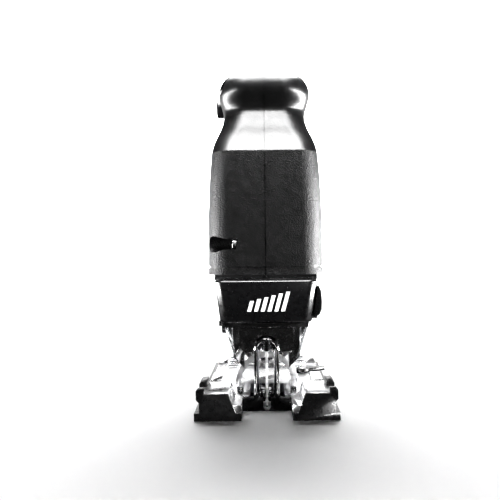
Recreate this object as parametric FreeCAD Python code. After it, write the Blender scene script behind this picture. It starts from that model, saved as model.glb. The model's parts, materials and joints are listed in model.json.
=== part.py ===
import FreeCAD, Part
import functools
import math
import os

# Bow-handle jigsaw, in millimetres. The origin is on the sole plane at the blade's axis. The front
# faces -Y, +Z is up and +X is the tool's left side.

# ---- driving dimensions -------------------------------------------------------------------------
BASE_WIDTH = 80.0            # over the sliding shoe's flanges
BASE_FRONT = -28.0
BASE_REAR = 128.0
TOOL_TOP = 203.5             # top of the pommel
STROKE = 20.0
TILT_AXIS_Z = 8.0            # height of the bevel axis, on the base plate's top
TILT_LIMIT = 45.0
MOTOR_AXIS_Z = 112.0
GEAR_TEETH = 56
PINION_TEETH = 8
GEAR_MODULE = 0.8125

GAP = 0.3                    # between bodies that pass each other
RUNNING_FIT = 0.05           # radial, shafts in bores
WALL = 2.5                   # moulded housing wall

# ---- base ---------------------------------------------------------------------------------------
SHOE_FLOOR = 2.0
FLANGE_TOP = 4.3
PLATE_TOP = TILT_AXIS_Z
RAIL_TOP = 10.0
BLOCK_TOP = 14.7
BLOCK_REAR = 4.0
HALF_WIDTH = BASE_WIDTH / 2
PLATE_HALF = HALF_WIDTH - 4.1
THROAT_HALF = 14.1           # open throat between the front blocks
SHOE_FACE = 1.8              # thickness of the shoe over the blocks' front faces
BLADE_SLOT_HALF = 10.5
BLADE_SLOT_REAR = 28.0
BAR_FRONT, BAR_REAR, BAR_TOP = -8.0, -5.7, 7.5
LUG_X, LUG_DEPTH, GUARD_FOOT_Z = (5.0, 7.7), 1.8, 9.3
EAR_TOP, EAR_IN, EAR_OUT = 17.7, HALF_WIDTH - 5.7, HALF_WIDTH - 1.1
FENCE_SLOT = (-23.8, -10.0)
SEGMENT_R, SEGMENT_WALL = 20.0, 4.0
SEGMENT_Y = (32.0, 76.0)
BOLT_Y = 54.0
BOLT_R = 3.0
LEVER_PIVOT = (25.0, 64.0)

# ---- drive --------------------------------------------------------------------------------------
CRANK_R = STROKE / 2
GEAR_R = GEAR_MODULE * GEAR_TEETH / 2
PINION_R = GEAR_MODULE * PINION_TEETH / 2
GEAR_AXIS_Z = MOTOR_AXIS_Z - GEAR_R - PINION_R
GEAR_Y = (12.0, 20.0)
PLUNGER_R = 4.5
CLAMP_R, CLAMP_Z = 5.65, (34.5, 41.5)
CLAMP_CORE_R = 4.2
YOKE_Y = (4.0, 9.0)
PIN_R = 3.5
SHAFT_R = 4.0
BUSH_R = 6.8
LOWER_BUSH_Z = (49.0, 60.0)
UPPER_BUSH_Z = (124.0, 136.0)
BLADE_HALF_DEPTH, BLADE_HALF_THICK = 4.0, 0.65
BLADE_TIP = 0.5
TOOTH_PITCH = 2.5
ROLLER_R, ROLLER_Z = 5.5, 7.0
FORK_PIVOT = (17.0, 46.0)

# ---- motor --------------------------------------------------------------------------------------
ARMATURE_SHAFT_R = 3.0
CORE_R = 15.0
FIELD_R = 25.0
AIR_GAP = 0.6
CORE_Y = (48.0, 92.0)
BEARING_R, BEARING_WIDTH = 9.5, 6.0
FRONT_BEARING_Y = 22.0
REAR_BEARING_Y = 130.0
FAN_R, FAN_Y = 23.0, (32.0, 42.0)
COMMUTATOR_R, COMMUTATOR_Y = 10.0, (104.0, 120.0)

# ---- housing ------------------------------------------------------------------------------------
RIM_Z = 79.0
CREASE_Z = 150.0
CASTING_HALF = 27.0
COVER_Z = (52.3, 75.9)
COVER_FRONT = -18.0
COVER_HALF = (26.0, 29.4)    # at the cover's bottom and top edge
HEAD_HALF = 24.0             # half-width of the casting behind the cover
HEAD_FRONT = -13.0
HOUSING_SCREWS = ((-10.3, 96.5, 16.5), (4.0, 190.5, 12.0), (122.0, 186.0, 11.0),
                  (172.0, 112.0, 16.0), (72.0, 82.2, 20.0), (140.0, 84.5, 18.0))
SCREW_HEAD_R, SCREW_R, RECESS_R, BOSS_R = 3.6, 1.9, 4.65, 4.6
TUBE_R = RECESS_R + 1.6      # moulded tube around a screw's recess
BOSS_FLOOR = 2.0             # floor under a screw's head
RIM_GROOVE_Z = (82.7, 83.9)
CASTING_Y, CASTING_TOP = (-5.2, 28.0), 142.0
DUCT_R, PORT_R, PORT_WALL = 13.0, 13.5, 2.5

# ---- controls -----------------------------------------------------------------------------------
TRIGGER_HALF, TRIGGER_Z = 7.5, 168.5
BUTTON_R, BUTTON_YZ = 5.5, (20.0, 181.0)
DIAL_R, DIAL_HALF, DIAL_YZ = 9.4, 2.5, (94.0, 192.5)
DIAL_NOTCHES = 24
INLET_R, INLET_BORE_R, INLET_Y, INLET_Z = 7.0, 4.0, (180.0, 196.0), 115.0

# z, half-width, front y, rear y, corner radius
POST = ((RIM_Z, 33.6, -14.4, 34, 12), (84, 33.4, -14, 34, 12), (112, 33.2, -14, 34, 12),
        (136, 32.2, -14, 32, 12), (CREASE_Z, 31.0, -14, 30, 12))
POMMEL = ((CREASE_Z, 31.0, -14, 30, 12), (155, 30.0, -11.2, 30, 12.5), (160, 28.3, -8.8, 29, 13.5),
          (165.5, 26.0, -6.6, 28, 14.5), (171, 24.6, -5.0, 27, 15), (178.5, 25.5, -4.8, 28, 17),
          (185.5, 27.4, -8, 29, 18), (191.5, 26.4, -8.3, 29, 18), (196.5, 22.8, -6, 28, 17),
          (200.5, 17.2, -1.5, 25, 13), (TOOL_TOP, 8.5, 6, 19, 6))
# y, centre z, half-width, half-height, corner radius
BARREL = ((12, 111, 33.0, 31.4, 24), (60, 110, 32.6, 32.0, 26), (120, 110, 31.4, 31.2, 26),
          (165, 112, 28.6, 28.4, 24), (188, 114, 23.0, 23.0, 19), (196, 115, 17.0, 17.0, 14))
# y, centre z, slope in degrees, half-width, half-height, corner radius
BOW = ((10, 186, 0, 21, 14.5, 12), (45, 186.5, 0, 19, 14.2, 12.5), (85, 187, -3, 18.6, 14.5, 12.5),
       (120, 182, -16, 19, 15.5, 13), (146, 168, -40, 20, 17, 14), (163, 144, -68, 21.5, 18, 15),
       (168, 112, -86, 22, 19, 15))


def vec(x, y, z):
    return FreeCAD.Vector(x, y, z)


X, Y, Z = vec(1, 0, 0), vec(0, 1, 0), vec(0, 0, 1)


def box(x, y, z):
    """A box from (low, high) pairs."""
    return Part.makeBox(x[1] - x[0], y[1] - y[0], z[1] - z[0], vec(x[0], y[0], z[0]))


def slab(half, y, z):
    """A box centred on X."""
    return box((-half, half), y, z)


def rod(radius, start, axis, length):
    return Part.makeCylinder(radius, length, vec(*start), axis)


def ring(outer, inner, start, axis, length):
    return rod(outer, start, axis, length).cut(rod(inner, start, axis, length))


def prism_y(points, y):
    """An (x, z) outline drawn out from y[0] to y[1]."""
    outline = Part.makePolygon([vec(x, y[0], z) for x, z in points + points[:1]])
    return Part.Face(outline).extrude(Y * (y[1] - y[0]))


def prism_x(points, x):
    """A (y, z) outline drawn out from x[0] to x[1]."""
    outline = Part.makePolygon([vec(x[0], y, z) for y, z in points + points[:1]])
    return Part.Face(outline).extrude(X * (x[1] - x[0]))


def prism_z(points, z):
    """An (x, y) outline drawn out from z[0] to z[1]."""
    outline = Part.makePolygon([vec(x, y, z[0]) for x, y in points + points[:1]])
    return Part.Face(outline).extrude(Z * (z[1] - z[0]))


def mirrored(shape):
    return shape.mirror(vec(0, 0, 0), X)


def both_sides(shape):
    return shape.fuse(mirrored(shape))


def fused(shapes):
    whole = shapes[0].multiFuse(list(shapes[1:])) if len(shapes) > 1 else shapes[0]
    return whole.removeSplitter()


def cut_all(shape, tools):
    for tool in tools:
        shape = shape.cut(tool)
    return shape


def save(node, *shapes):
    """Write one node: its solids, each closed and apart."""
    solids = [solid for shape in shapes for solid in shape.Solids]
    result = solids[0] if len(solids) == 1 else Part.makeCompound(solids)
    result.exportStep(os.path.join("parts", node + ".step"))


# ---- moulded housing ----------------------------------------------------------------------------
def section(centre, u, v, half_u, half_v, radius):
    """A rounded rectangle about centre, with its sides along u and v."""
    radius = min(radius, half_u - 0.3, half_v - 0.3)
    flat_u, flat_v = half_u - radius, half_v - radius
    edges = []
    for index, (su, sv) in enumerate(((1, 1), (-1, 1), (-1, -1), (1, -1))):
        turn = math.pi / 2 * index
        corner = centre + u * (su * flat_u) + v * (sv * flat_v)
        arc = [corner + u * (radius * math.cos(turn + a)) + v * (radius * math.sin(turn + a))
               for a in (0, math.pi / 4, math.pi / 2)]
        if edges:
            edges.append(Part.makeLine(edges[-1].Vertexes[-1].Point, arc[0]))
        edges.append(Part.Arc(*arc).toShape())
    edges.append(Part.makeLine(edges[-1].Vertexes[-1].Point, edges[0].Vertexes[0].Point))
    return Part.Wire(edges)


def stacked(table, inset):
    """A loft through sections that lie level, one above the other."""
    wires = []
    for z, half, front, rear, radius in table:
        centre = vec(0, (front + rear) / 2, z)
        wires.append(section(centre, X, Y, half - inset, (rear - front) / 2 - inset, radius - inset))
    return Part.makeLoft(wires, True, False)


def barrel(inset):
    end = BARREL[-1]
    table = BARREL[:-1] + ((end[0] - inset, *end[1:]),)
    wires = [section(vec(0, y, z), X, Z, half - inset, high - inset, radius - inset)
             for y, z, half, high, radius in table]
    return Part.makeLoft(wires, True, False)


def bow(inset):
    wires = []
    for y, z, slope, half, high, radius in BOW:
        angle = math.radians(slope)
        up = vec(0, -math.sin(angle), math.cos(angle))
        wires.append(section(vec(0, y, z), X, up, half - inset, high - inset, radius - inset))
    return Part.makeLoft(wires, True, False)


@functools.cache
def housing_solid(inset):
    """The housing's outer form, or the space inside its walls when inset is the wall."""
    top = POMMEL[-1]
    pommel = POMMEL[:-1] + ((top[0] - inset, *top[1:]),)
    return fused([stacked(POST, inset), stacked(pommel, inset), barrel(inset), bow(inset)])


def housing_shell():
    outer = housing_solid(0)
    shell = outer.cut(housing_solid(WALL))
    for y, z, depth in HOUSING_SCREWS:
        boss = rod(BOSS_R, (-depth, y, z), X, depth + 40)
        tube = rod(TUBE_R, (-40, y, z), X, 40 - depth + BOSS_FLOOR)
        shell = shell.fuse(fused([boss, tube]).common(outer))
    _z, half, front, rear, radius = POST[0]
    mouth = section(vec(0, (front + rear) / 2, RIM_Z - 5), X, Y, half - WALL, (rear - front) / 2 - WALL,
                    radius - WALL)
    shell = shell.cut(Part.Face(mouth).extrude(Z * (RIM_GROOVE_Z[0] - RIM_Z + 5)))
    shell = shell.cut(casting_block(GAP))
    return cut_all(shell, housing_openings())


def housing_openings():
    """Holes through the moulded halves: screws, trigger, dial, button, vents and the cord's inlet."""
    tools = [slab(TRIGGER_HALF + 0.6, (35.4, 78.6), (165, 180))]
    for y, z, depth in HOUSING_SCREWS:
        tools.append(rod(RECESS_R, (-60, y, z), X, 60 - depth))
        tools.append(rod(SCREW_R, (-depth - 1, y, z), X, 2 * depth))
    tools.append(slab(DIAL_HALF + 0.5, (DIAL_YZ[0] - 10, DIAL_YZ[0] + 10), (190, 206)))
    tools.append(rod(BUTTON_R + GAP, (-40, *BUTTON_YZ), X, 30))
    tools.append(rod(INLET_R, (0, INLET_Y[0], INLET_Z), Y, 30))
    for side in (-1, 1):
        for index in range(6):
            y = 104 + 7 * index
            tools.append(box((min(20 * side, 36 * side), max(20 * side, 36 * side)),
                             (y, y + 3.2), (98, 124)))
    groove = housing_solid(0).cut(housing_solid(0.8))
    tools.append(groove.common(slab(40, (-20, 12), RIM_GROOVE_Z)))
    return tools


def make_housing():
    shell = housing_shell()
    save("housing_left", shell.common(box((0, 60), (-60, 260), (40, 240))))
    save("housing_right", shell.common(box((-60, 0), (-60, 260), (40, 240))))
    screws = []
    for y, z, depth in HOUSING_SCREWS:
        head = rod(SCREW_HEAD_R, (-depth - 2.4, y, z), X, 2.4)
        socket = rod(1.6, (-depth - 2.4, y, z), X, 1.6)
        shank = rod(SCREW_R, (-depth, y, z), X, 2 * depth - 2)
        screws.append(head.cut(socket).fuse(shank))
    save("housing_screws", *screws)


def make_grip():
    """Soft overmould on the bow, with ribs moulded across its back."""
    skin = bow(-0.9).common(slab(40, (44, 142), (150, 215)))
    grip = skin.cut(housing_solid(0))
    grip = grip.cut(slab(8.5, (30, 84), (160, 180)))
    grip = grip.cut(slab(4.5, (82, 106), (190, 215)))
    grip = grip.cut(rod(RECESS_R, (-40, 122, 186), X, 40))
    largest = max(grip.Solids, key=lambda solid: solid.Volume)
    save("handle_grip", largest)


# ---- casting and what is fixed on it ------------------------------------------------------------
def casting_block(clearance):
    """The casting's upper block, inside the post's walls, grown by a clearance."""
    front, rear = CASTING_Y
    block = slab(CASTING_HALF + clearance, (front - clearance, rear + clearance),
                 (RIM_Z, CASTING_TOP + clearance))
    return block.common(stacked(POST, WALL + GAP - clearance))


def make_gear_housing():
    upper = casting_block(0)
    bush_block = slab(10, (-9, 9), (122, 138))
    band = slab(29.3, (HEAD_FRONT + 1, 31), (COVER_Z[1], RIM_Z))
    head = slab(HEAD_HALF, (HEAD_FRONT, 34), (LOWER_BUSH_Z[0], COVER_Z[1] + 1))
    cradle = prism_y([(-24, RIM_Z - 1), (24, RIM_Z - 1), (24, 37.5), (11.5, 24.3), (-11.5, 24.3),
                      (-24, 37.5)], (28, 80)).cut(barrel(0))
    skirt = prism_y([(-20, 52), (20, 52), (20, 28.8), (13.5, 22.2), (-13.5, 22.2), (-20, 28.8)],
                    (6.5, 28))
    casting = fused([upper, bush_block, band, head, cradle, skirt])
    gear_y = GEAR_Y[0] - 2.8
    dome = fused([rod(13.5, (0, 6, 31.5), Y, 22.2), slab(13.5, (6, 28.2), (20, 31.5))])
    tools = [
        rod(24.3, (0, gear_y, GEAR_AXIS_Z), Y, 21 - gear_y),
        slab(18.6, (-PLUNGER_R - 0.4, gear_y + 0.1), (63, RIM_Z + 0.1)),
        slab(18.6, (-6, gear_y + 0.1), (RIM_Z, 121)),
        rod(6.5, (0, gear_y, MOTOR_AXIS_Z), Y, 14),
        rod(BEARING_R, (0, FRONT_BEARING_Y, MOTOR_AXIS_Z), Y, 20),
        rod(PLUNGER_R + GAP, (0, 0, 40), Z, 100),
        rod(BUSH_R, (0, 0, LOWER_BUSH_Z[0]), Z, LOWER_BUSH_Z[1] - LOWER_BUSH_Z[0]),
        rod(BUSH_R, (0, 0, UPPER_BUSH_Z[0]), Z, UPPER_BUSH_Z[1] - UPPER_BUSH_Z[0]),
        rod(SHAFT_R, (0, 20, GEAR_AXIS_Z), Y, 7),
        dome,
        rod(DUCT_R, (0, 27, 45), Y, 60),
        rod(SEGMENT_R + GAP, (0, 27.9, TILT_AXIS_Z), Y, 60),
        slab(7.6, (4.8, 28.1), (28, 49.5)),
        rod(BOLT_R, (0, BOLT_Y, 20), Z, 20),
        rod(2.0, (-13.2, FORK_PIVOT[0], FORK_PIVOT[1]), X, 26.4),
    ]
    casting = cut_all(casting, tools)
    lug = box((HEAD_HALF - 1, 30.9), (8.6, 13.4), (51.5, 54.6))
    lugs = [lug, lug.translated(vec(0, 0, 20.9))]
    pin_hole = rod(1.2, (29.3, 11, 50), Z, 30)
    pads = [box((side * 23 - 1.6, side * 23 + 1.6), (12, 27), (40, 50)) for side in (-1, 1)]
    casting = fused([casting] + lugs + pads).cut(pin_hole)
    casting = cut_all(casting, [shield_plate(side) for side in (-1, 1)])
    save("gear_housing", max(casting.Solids, key=lambda solid: solid.Volume))


def make_front_cover():
    rear = 24.0
    low, high = COVER_HALF
    outline = [(-high, COVER_Z[1]), (high, COVER_Z[1]), (low, COVER_Z[0]), (-low, COVER_Z[0])]
    cover = prism_y(outline, (COVER_FRONT, rear))
    upright = [edge for edge in cover.Edges
               if edge.BoundBox.ZLength > 15 and abs(edge.BoundBox.YMax - COVER_FRONT) < 0.1]
    cover = cover.makeFillet(5.0, upright)
    rims = [edge for edge in cover.Edges
            if edge.BoundBox.ZLength < 0.1 and edge.BoundBox.YMin < rear - 1
            and edge.BoundBox.YMax < rear + 1]
    cover = cover.makeChamfer(0.7, rims)
    cover = cover.cut(slab(HEAD_HALF, (HEAD_FRONT, rear + 1), (COVER_Z[0] - 1, COVER_Z[1] + 1)))
    window = box((HEAD_HALF - 0.5, 34), (7.6, rear + 1), (COVER_Z[0] - 1, COVER_Z[1] + 1))
    save("front_cover", cover.cut(window))


def make_lip():
    """Lens-shaped lip that closes the gap under the front cover."""
    half, front, drop, top_z = HEAD_HALF - 1, COVER_FRONT + 0.8, 2.4, COVER_Z[0] - GAP
    arc = Part.Arc(vec(-half, front, top_z), vec(0, front, top_z - drop), vec(half, front, top_z)).toShape()
    top = Part.makeLine(vec(half, front, top_z), vec(-half, front, top_z))
    save("cover_lip", Part.Face(Part.Wire([arc, top])).extrude(Y * (HEAD_FRONT - front)))


def make_nose():
    """Black guard block around the blade clamp, open at the front and underneath."""
    half, top, bottom = 15.5, LOWER_BUSH_Z[0] - 0.6, 34.6
    block = slab(half, (-9.5, 4.0), (bottom, top))
    corners = [edge for edge in block.Edges
               if abs(edge.BoundBox.ZMax - bottom) < 0.01 and edge.BoundBox.YLength > 5]
    block = block.makeFillet(4.0, corners)
    recess = fused([rod(7.2, (0, -10, 36.6), Y, 17), slab(7.2, (-10, 5), (30, 36.6))])
    bore = rod(PLUNGER_R + GAP + 0.3, (0, 0, 30), Z, 30)
    save("nose_guard", cut_all(block, [recess, bore]))


def lever_outline():
    return [(30.2, 72.3), (31.3, 69.5), (31.6, 64.0), (31.4, 59.0), (30.2, 56.3), (28.2, 55.0),
            (26.8, 55.0), (29.3, 72.3)]


def make_release_lever():
    """Blade-release lever, beside the cover and pivoted behind it on an upright pin."""
    arm = prism_y(lever_outline(), (-15.5, 9.0))
    hub = rod(2.3, (29.3, 11.0, 55.0), Z, 17.3)
    lever = fused([arm, hub, box((28.0, 30.6), (8.0, 11.0), (56.0, 71.0))])
    lever = lever.cut(rod(1.2 + RUNNING_FIT, (29.3, 11.0, 50), Z, 30))
    grips = [box((30.9, 33), (-13.5 + 2.4 * index, -12.3 + 2.4 * index), (57, 71)) for index in range(4)]
    save("release_lever", cut_all(lever, grips))
    save("lever_pin", rod(1.2, (29.3, 11.0, 51.5), Z, 23.6))


def shield_plate(side):
    """Clear window that hangs beside the blade."""
    outline = [(24.6, 50.0), (25.9, 50.0), (19.0, 28.3), (17.7, 27.6)]
    return prism_y([(side * x, z) for x, z in outline], (5.5, 27.0))


def make_side_shields():
    save("shield_left", shield_plate(1))
    save("shield_right", shield_plate(-1))


# ---- drive --------------------------------------------------------------------------------------
def tooth_ring(teeth, backlash, phase):
    """Outline points of an involute gear about the Y axis, as (x, z) offsets from its centre."""
    pitch = GEAR_MODULE * teeth / 2
    base = pitch * math.cos(math.radians(20))
    tip, root = pitch + 0.75 * GEAR_MODULE, pitch - 1.1 * GEAR_MODULE
    spread = math.tan(math.radians(20)) - math.radians(20)
    half_tooth = math.pi / (2 * teeth) - backlash / (2 * pitch)
    flank = [(root, half_tooth + spread)]
    start = max(base, root + 0.01)
    for index in range(4):
        radius = start + (tip - start) * index / 3
        angle = math.acos(base / radius)
        flank.append((radius, half_tooth + spread - (math.tan(angle) - angle)))
    points = []
    for tooth in range(teeth):
        middle = phase + 2 * math.pi * tooth / teeth
        points += [(r * math.cos(middle - a), r * math.sin(middle - a)) for r, a in flank]
        points += [(r * math.cos(middle + a), r * math.sin(middle + a)) for r, a in reversed(flank)]
    return points


def gear_solid(teeth, backlash, phase, centre_z, y):
    return prism_y([(x, centre_z + z) for x, z in tooth_ring(teeth, backlash, phase)], y)


def make_drive():
    gear = gear_solid(GEAR_TEETH, 0.2, 0, GEAR_AXIS_Z, GEAR_Y)
    pin_z = GEAR_AXIS_Z + CRANK_R
    gear = cut_all(gear, [rod(SHAFT_R + RUNNING_FIT, (0, 0, GEAR_AXIS_Z), Y, 30),
                          rod(PIN_R - 1, (0, 0, pin_z), Y, 30)])
    save("crank_gear", gear)
    crank_pin = rod(PIN_R - 1, (0, GEAR_Y[0], pin_z), Y, 8).fuse(
        rod(PIN_R, (0, YOKE_Y[1] + 0.4, pin_z), Y, GEAR_Y[0] - YOKE_Y[1] - 0.4))
    save("crank_pin", crank_pin.removeSplitter())
    save("gear_shaft", rod(SHAFT_R, (0, 10.2, GEAR_AXIS_Z), Y, 16.8))
    yoke = slab(17.5, YOKE_Y, (pin_z - 7.5, pin_z + 7.5))
    slot = fused([slab(CRANK_R + 0.5, (0, 12), (pin_z - PIN_R - GAP, pin_z + PIN_R + GAP)),
                  rod(PIN_R + GAP, (-CRANK_R - 0.5, 0, pin_z), Y, 12),
                  rod(PIN_R + GAP, (CRANK_R + 0.5, 0, pin_z), Y, 12)])
    save("scotch_yoke", yoke.cut(slot).cut(rod(PLUNGER_R, (0, 0, 80), Z, 40)))
    plunger_z = (CLAMP_Z[1] + 1.5, 140.0)
    save("plunger", rod(PLUNGER_R, (0, 0, plunger_z[0]), Z, plunger_z[1] - plunger_z[0]))
    for node, z in (("lower_bush", LOWER_BUSH_Z), ("upper_bush", UPPER_BUSH_Z)):
        save(node, ring(BUSH_R, PLUNGER_R + RUNNING_FIT, (0, 0, z[0]), Z, z[1] - z[0]))


def make_clamp():
    """Blade holder on the plunger's end, and the sleeve that turns on it to free the blade."""
    core_z = (CLAMP_Z[0] - 0.8, CLAMP_Z[1] + 1.5)
    core = rod(CLAMP_CORE_R, (0, 0, core_z[0]), Z, core_z[1] - core_z[0])
    core = core.cut(box((-BLADE_HALF_THICK, BLADE_HALF_THICK), (-3.2, 3.2),
                        (core_z[0], core_z[1] - 2)))
    save("blade_clamp", core)
    sleeve = ring(CLAMP_R, CLAMP_CORE_R + RUNNING_FIT, (0, 0, CLAMP_Z[0]), Z, CLAMP_Z[1] - CLAMP_Z[0])
    flats = [box((side * 5.2 - 0.6, side * 5.2 + 0.6), (-8, 8), (CLAMP_Z[0] + 2, CLAMP_Z[0] + 4))
             for side in (-1, 1)]
    rim = [edge for edge in sleeve.Edges
           if edge.BoundBox.ZMin > CLAMP_Z[1] - 0.01 and edge.BoundBox.XLength > 2 * CLAMP_R - 0.1]
    save("clamp_sleeve", cut_all(sleeve.makeChamfer(0.9, rim), flats))


def make_blade():
    """Short saw blade with its teeth forwards and its shank in the clamp."""
    back, tooth_root, neck = BLADE_HALF_DEPTH, -BLADE_HALF_DEPTH + 1.4, 3.2
    shoulder = CLAMP_Z[0] - 1.6
    count = int((shoulder - 6 - BLADE_TIP) / TOOTH_PITCH)
    outline = [(back, shoulder), (back, BLADE_TIP + 3), (tooth_root + 1.5, BLADE_TIP)]
    for index in range(count):
        z = BLADE_TIP + 1.6 + index * TOOTH_PITCH
        outline += [(-BLADE_HALF_DEPTH, z), (tooth_root, z + TOOTH_PITCH - 0.4)]
    outline += [(-BLADE_HALF_DEPTH, shoulder - 4), (-BLADE_HALF_DEPTH, shoulder),
                (-neck, shoulder + 1), (-neck, CLAMP_Z[1] - 0.6), (neck, CLAMP_Z[1] - 0.6),
                (neck, shoulder + 1)]
    save("blade", prism_x(outline, (-BLADE_HALF_THICK, BLADE_HALF_THICK)))


def make_orbit():
    """Grooved guide roller behind the blade, in a fork that the orbit setting rocks."""
    roller_y = BLADE_HALF_DEPTH + 0.35 + ROLLER_R - 0.9
    roller = rod(ROLLER_R, (-4.2, roller_y, ROLLER_Z), X, 8.4)
    groove = ring(ROLLER_R + 1, ROLLER_R - 0.9, (-1.0, roller_y, ROLLER_Z), X, 2.0)
    roller = roller.cut(groove).cut(rod(1.5 + RUNNING_FIT, (-10, roller_y, ROLLER_Z), X, 20))
    save("guide_roller", roller)
    save("roller_pin", rod(1.5, (-6.3, roller_y, ROLLER_Z), X, 12.6))
    pivot_y, pivot_z = FORK_PIVOT
    arm_outline = [(roller_y - 2.6, ROLLER_Z - 2.6), (roller_y + 3.4, ROLLER_Z - 2.6),
                   (pivot_y + 3, pivot_z - 14), (pivot_y + 3, pivot_z + 2.5),
                   (pivot_y - 3, pivot_z + 2.5), (pivot_y - 3, pivot_z - 14)]
    arms = both_sides(prism_x(arm_outline, (4.6, 6.3)))
    bridge = slab(5.0, (pivot_y - 3, pivot_y + 3), (pivot_z - 14, pivot_z + 2.5))
    fork = fused([arms, bridge])
    fork = cut_all(fork, [rod(1.5, (-10, roller_y, ROLLER_Z), X, 20),
                          rod(2.0 + RUNNING_FIT, (-10, pivot_y, pivot_z), X, 20)])
    save("orbit_fork", fork)
    save("fork_pin", rod(2.0, (-13.2, pivot_y, pivot_z), X, 26.4))
    knob_y, knob_z = 45.0, 45.0
    knob = rod(7.0, (-29.2, knob_y, knob_z), X, 4.9)
    rib = box((-31.0, -29.0), (knob_y - 6, knob_y + 6), (knob_z - 1.6, knob_z + 1.6))
    save("orbit_selector", fused([knob, rib]))


# ---- motor --------------------------------------------------------------------------------------
def make_motor():
    axis_z = MOTOR_AXIS_Z
    pinion = gear_solid(PINION_TEETH, 0.2, math.pi / PINION_TEETH, axis_z, (GEAR_Y[0], 21.6))
    shaft = rod(ARMATURE_SHAFT_R, (0, 21.6, axis_z), Y, REAR_BEARING_Y + BEARING_WIDTH - 21.6)
    save("armature_shaft", fused([pinion, shaft]))
    save("armature_core", ring(CORE_R, ARMATURE_SHAFT_R, (0, CORE_Y[0], axis_z), Y, CORE_Y[1] - CORE_Y[0])
         .fuse(ring(CORE_R - 3, ARMATURE_SHAFT_R, (0, CORE_Y[0] - 4, axis_z), Y, 4))
         .fuse(ring(CORE_R - 3, ARMATURE_SHAFT_R, (0, CORE_Y[1], axis_z), Y, 4)).removeSplitter())
    save("commutator", ring(COMMUTATOR_R, ARMATURE_SHAFT_R, (0, COMMUTATOR_Y[0], axis_z), Y,
                            COMMUTATOR_Y[1] - COMMUTATOR_Y[0]))
    hub = ring(7.5, ARMATURE_SHAFT_R, (0, FAN_Y[0], axis_z), Y, FAN_Y[1] - FAN_Y[0])
    plate = ring(FAN_R, ARMATURE_SHAFT_R, (0, FAN_Y[1] - 1.6, axis_z), Y, 1.6)
    blades = []
    for index in range(9):
        blade = box((7.0, FAN_R - 0.5), (FAN_Y[0], FAN_Y[1] - 1.5), (-0.7, 0.7))
        blade.rotate(vec(0, 0, 0), Y, 40 * index)
        blade.translate(vec(0, 0, axis_z))
        blades.append(blade)
    save("fan", fused([hub, plate] + blades))
    field = ring(FIELD_R, CORE_R + AIR_GAP, (0, CORE_Y[0], axis_z), Y, CORE_Y[1] - CORE_Y[0])
    slots = [box((side * 20 - 3.5, side * 20 + 3.5), (0, 200), (axis_z - 8, axis_z + 8)) for side in (-1, 1)]
    save("field_core", cut_all(field, slots))
    coils = [box((side * 20 - 3.2, side * 20 + 3.2), (CORE_Y[0] - 3, CORE_Y[1] + 5),
                 (axis_z - 8, axis_z + 8)) for side in (-1, 1)]
    coils = [coil.cut(rod(CORE_R + AIR_GAP, (0, 0, axis_z), Y, 200)) for coil in coils]
    save("field_coils", *coils)
    for node, y in (("front_bearing", FRONT_BEARING_Y), ("rear_bearing", REAR_BEARING_Y)):
        save(node, ring(BEARING_R, ARMATURE_SHAFT_R + RUNNING_FIT, (0, y, axis_z), Y, BEARING_WIDTH))
    carrier = slab(24, (REAR_BEARING_Y - 1, REAR_BEARING_Y + BEARING_WIDTH + 3), (axis_z - 12, axis_z + 12))
    carrier = cut_all(carrier, [rod(BEARING_R, (0, REAR_BEARING_Y, axis_z), Y, BEARING_WIDTH),
                                rod(ARMATURE_SHAFT_R + 2, (0, 100, axis_z), Y, 60)])
    save("bearing_carrier", carrier)
    brush_x = COMMUTATOR_R + GAP
    brushes, holders = [], []
    brush_y = (COMMUTATOR_Y[0] + 4, COMMUTATOR_Y[0] + 10)
    for side in (-1, 1):
        span = sorted((side * brush_x, side * (brush_x + 10)))
        outer = sorted((side * (brush_x + 2), side * (brush_x + 15)))
        brush = box(span, brush_y, (axis_z - 4, axis_z + 4))
        holder = box(outer, (brush_y[0] - 1.2, brush_y[1] + 1.2), (axis_z - 5.2, axis_z + 5.2))
        brushes.append(brush)
        holders.append(holder.cut(brush))
    save("carbon_brushes", *brushes)
    save("brush_holders", *holders)


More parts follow.
